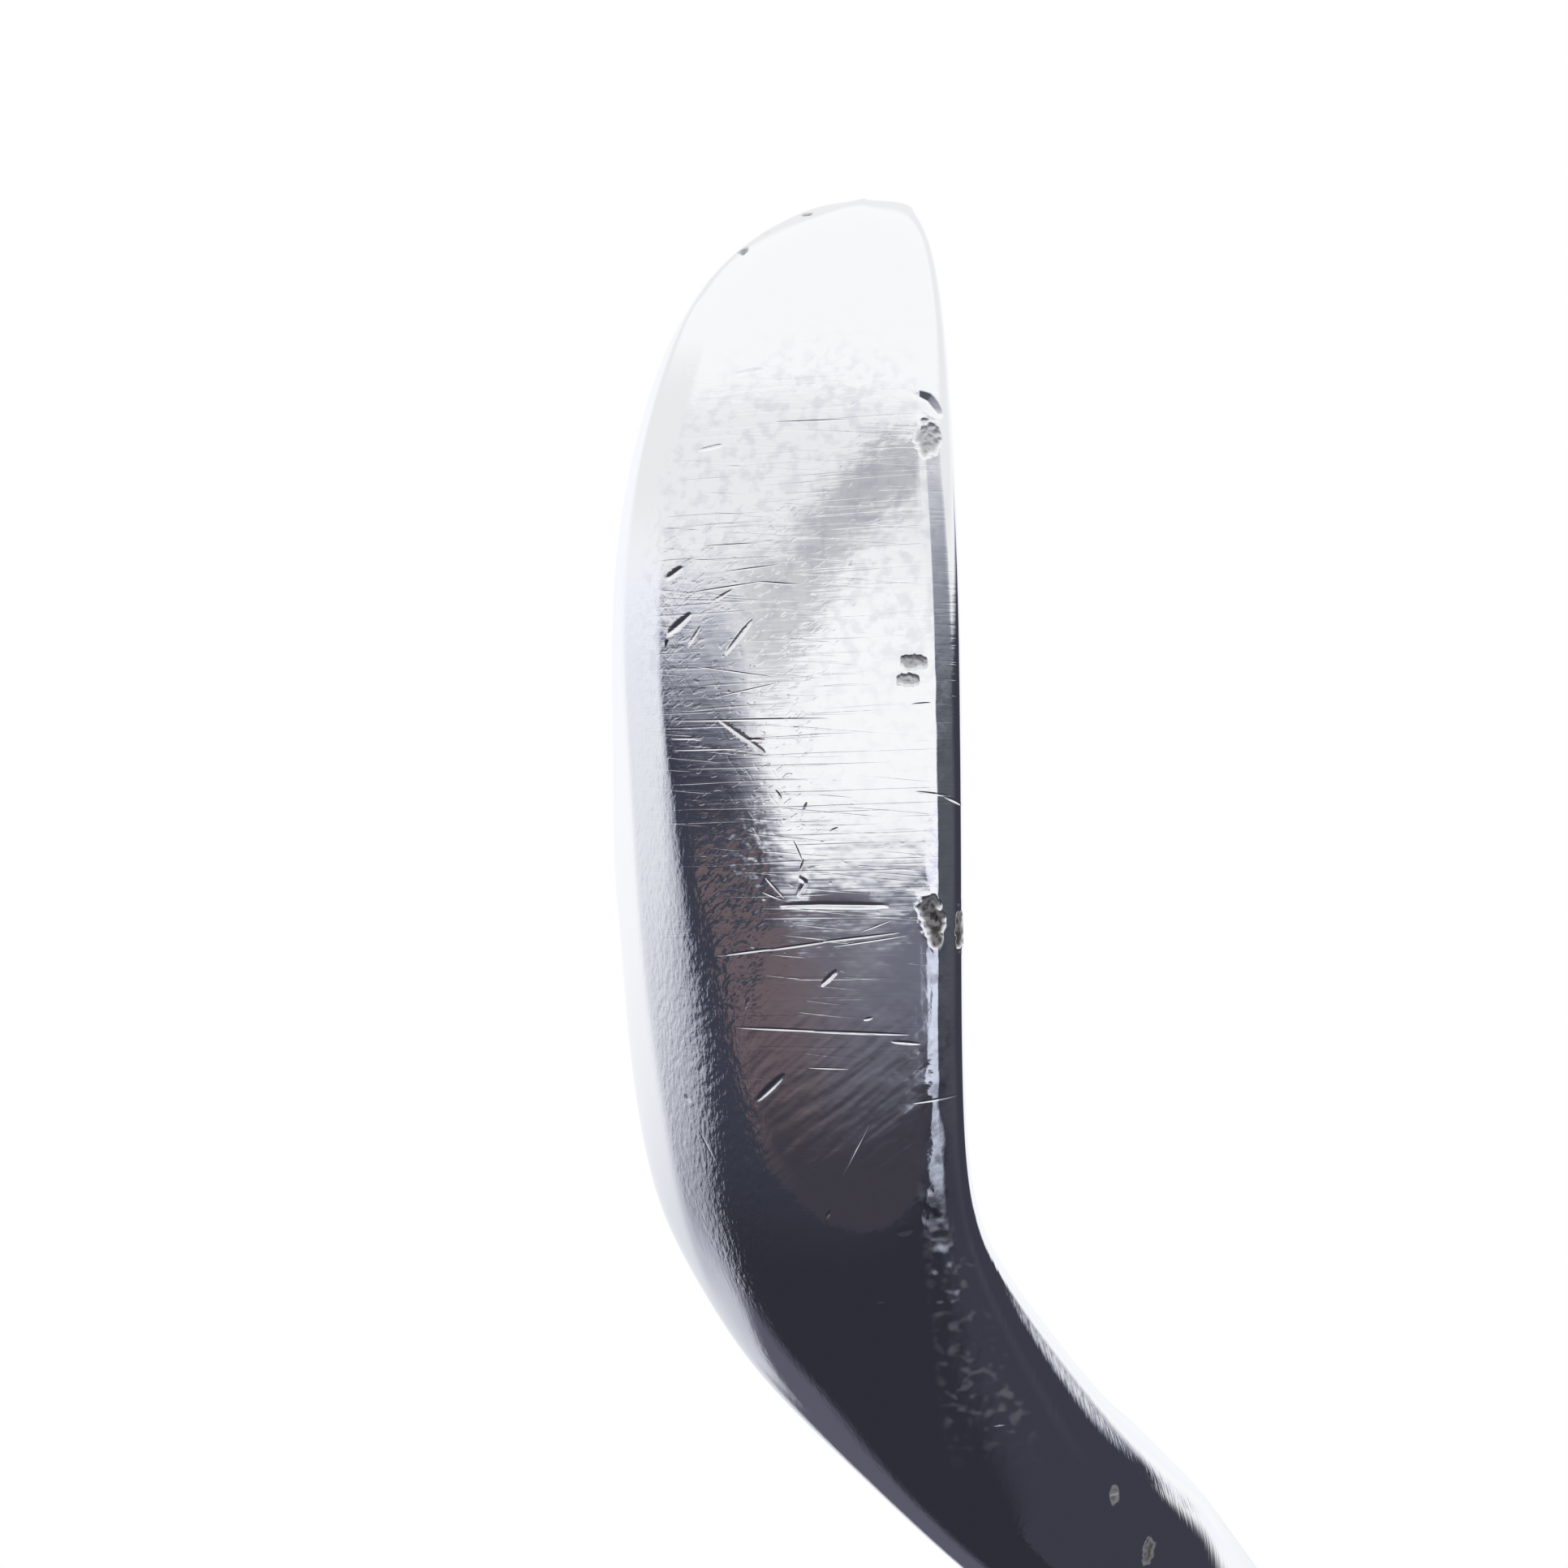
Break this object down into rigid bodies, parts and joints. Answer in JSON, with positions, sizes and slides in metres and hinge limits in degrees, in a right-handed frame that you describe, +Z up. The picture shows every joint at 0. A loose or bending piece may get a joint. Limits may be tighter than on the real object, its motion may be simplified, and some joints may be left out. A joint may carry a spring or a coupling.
{
  "type": "golf iron",
  "caption": "Right-handed golf iron: cavity-back chrome-plated steel head on a stepped steel shaft, with a plastic ferrule and a slip-on rubber grip.",
  "frame": {"origin": "centre of the grip's butt end, on the shaft's axis", "axes": "+Z up the shaft from the butt to the head; +X towards the toe of the head; -Y is the way the face looks"},
  "size_m": [0.1018, 0.0503, 0.9705],
  "materials": {
    "head_chrome": "polished chrome plate, scratched and dented by use",
    "ferrule_plastic": "polished black",
    "shaft_chrome": "bright plated tube",
    "weight_brass": "plain turned",
    "tape_paper": "matt paper tape",
    "grip_rubber": "matt moulded rubber"
  },
  "bodies": {
    "root": {"iron_head": "head_chrome", "ferrule": "ferrule_plastic", "shaft": "shaft_chrome", "tip_weight": "weight_brass", "grip_tape": "tape_paper", "grip": "grip_rubber"}
  },
  "joints": []
}
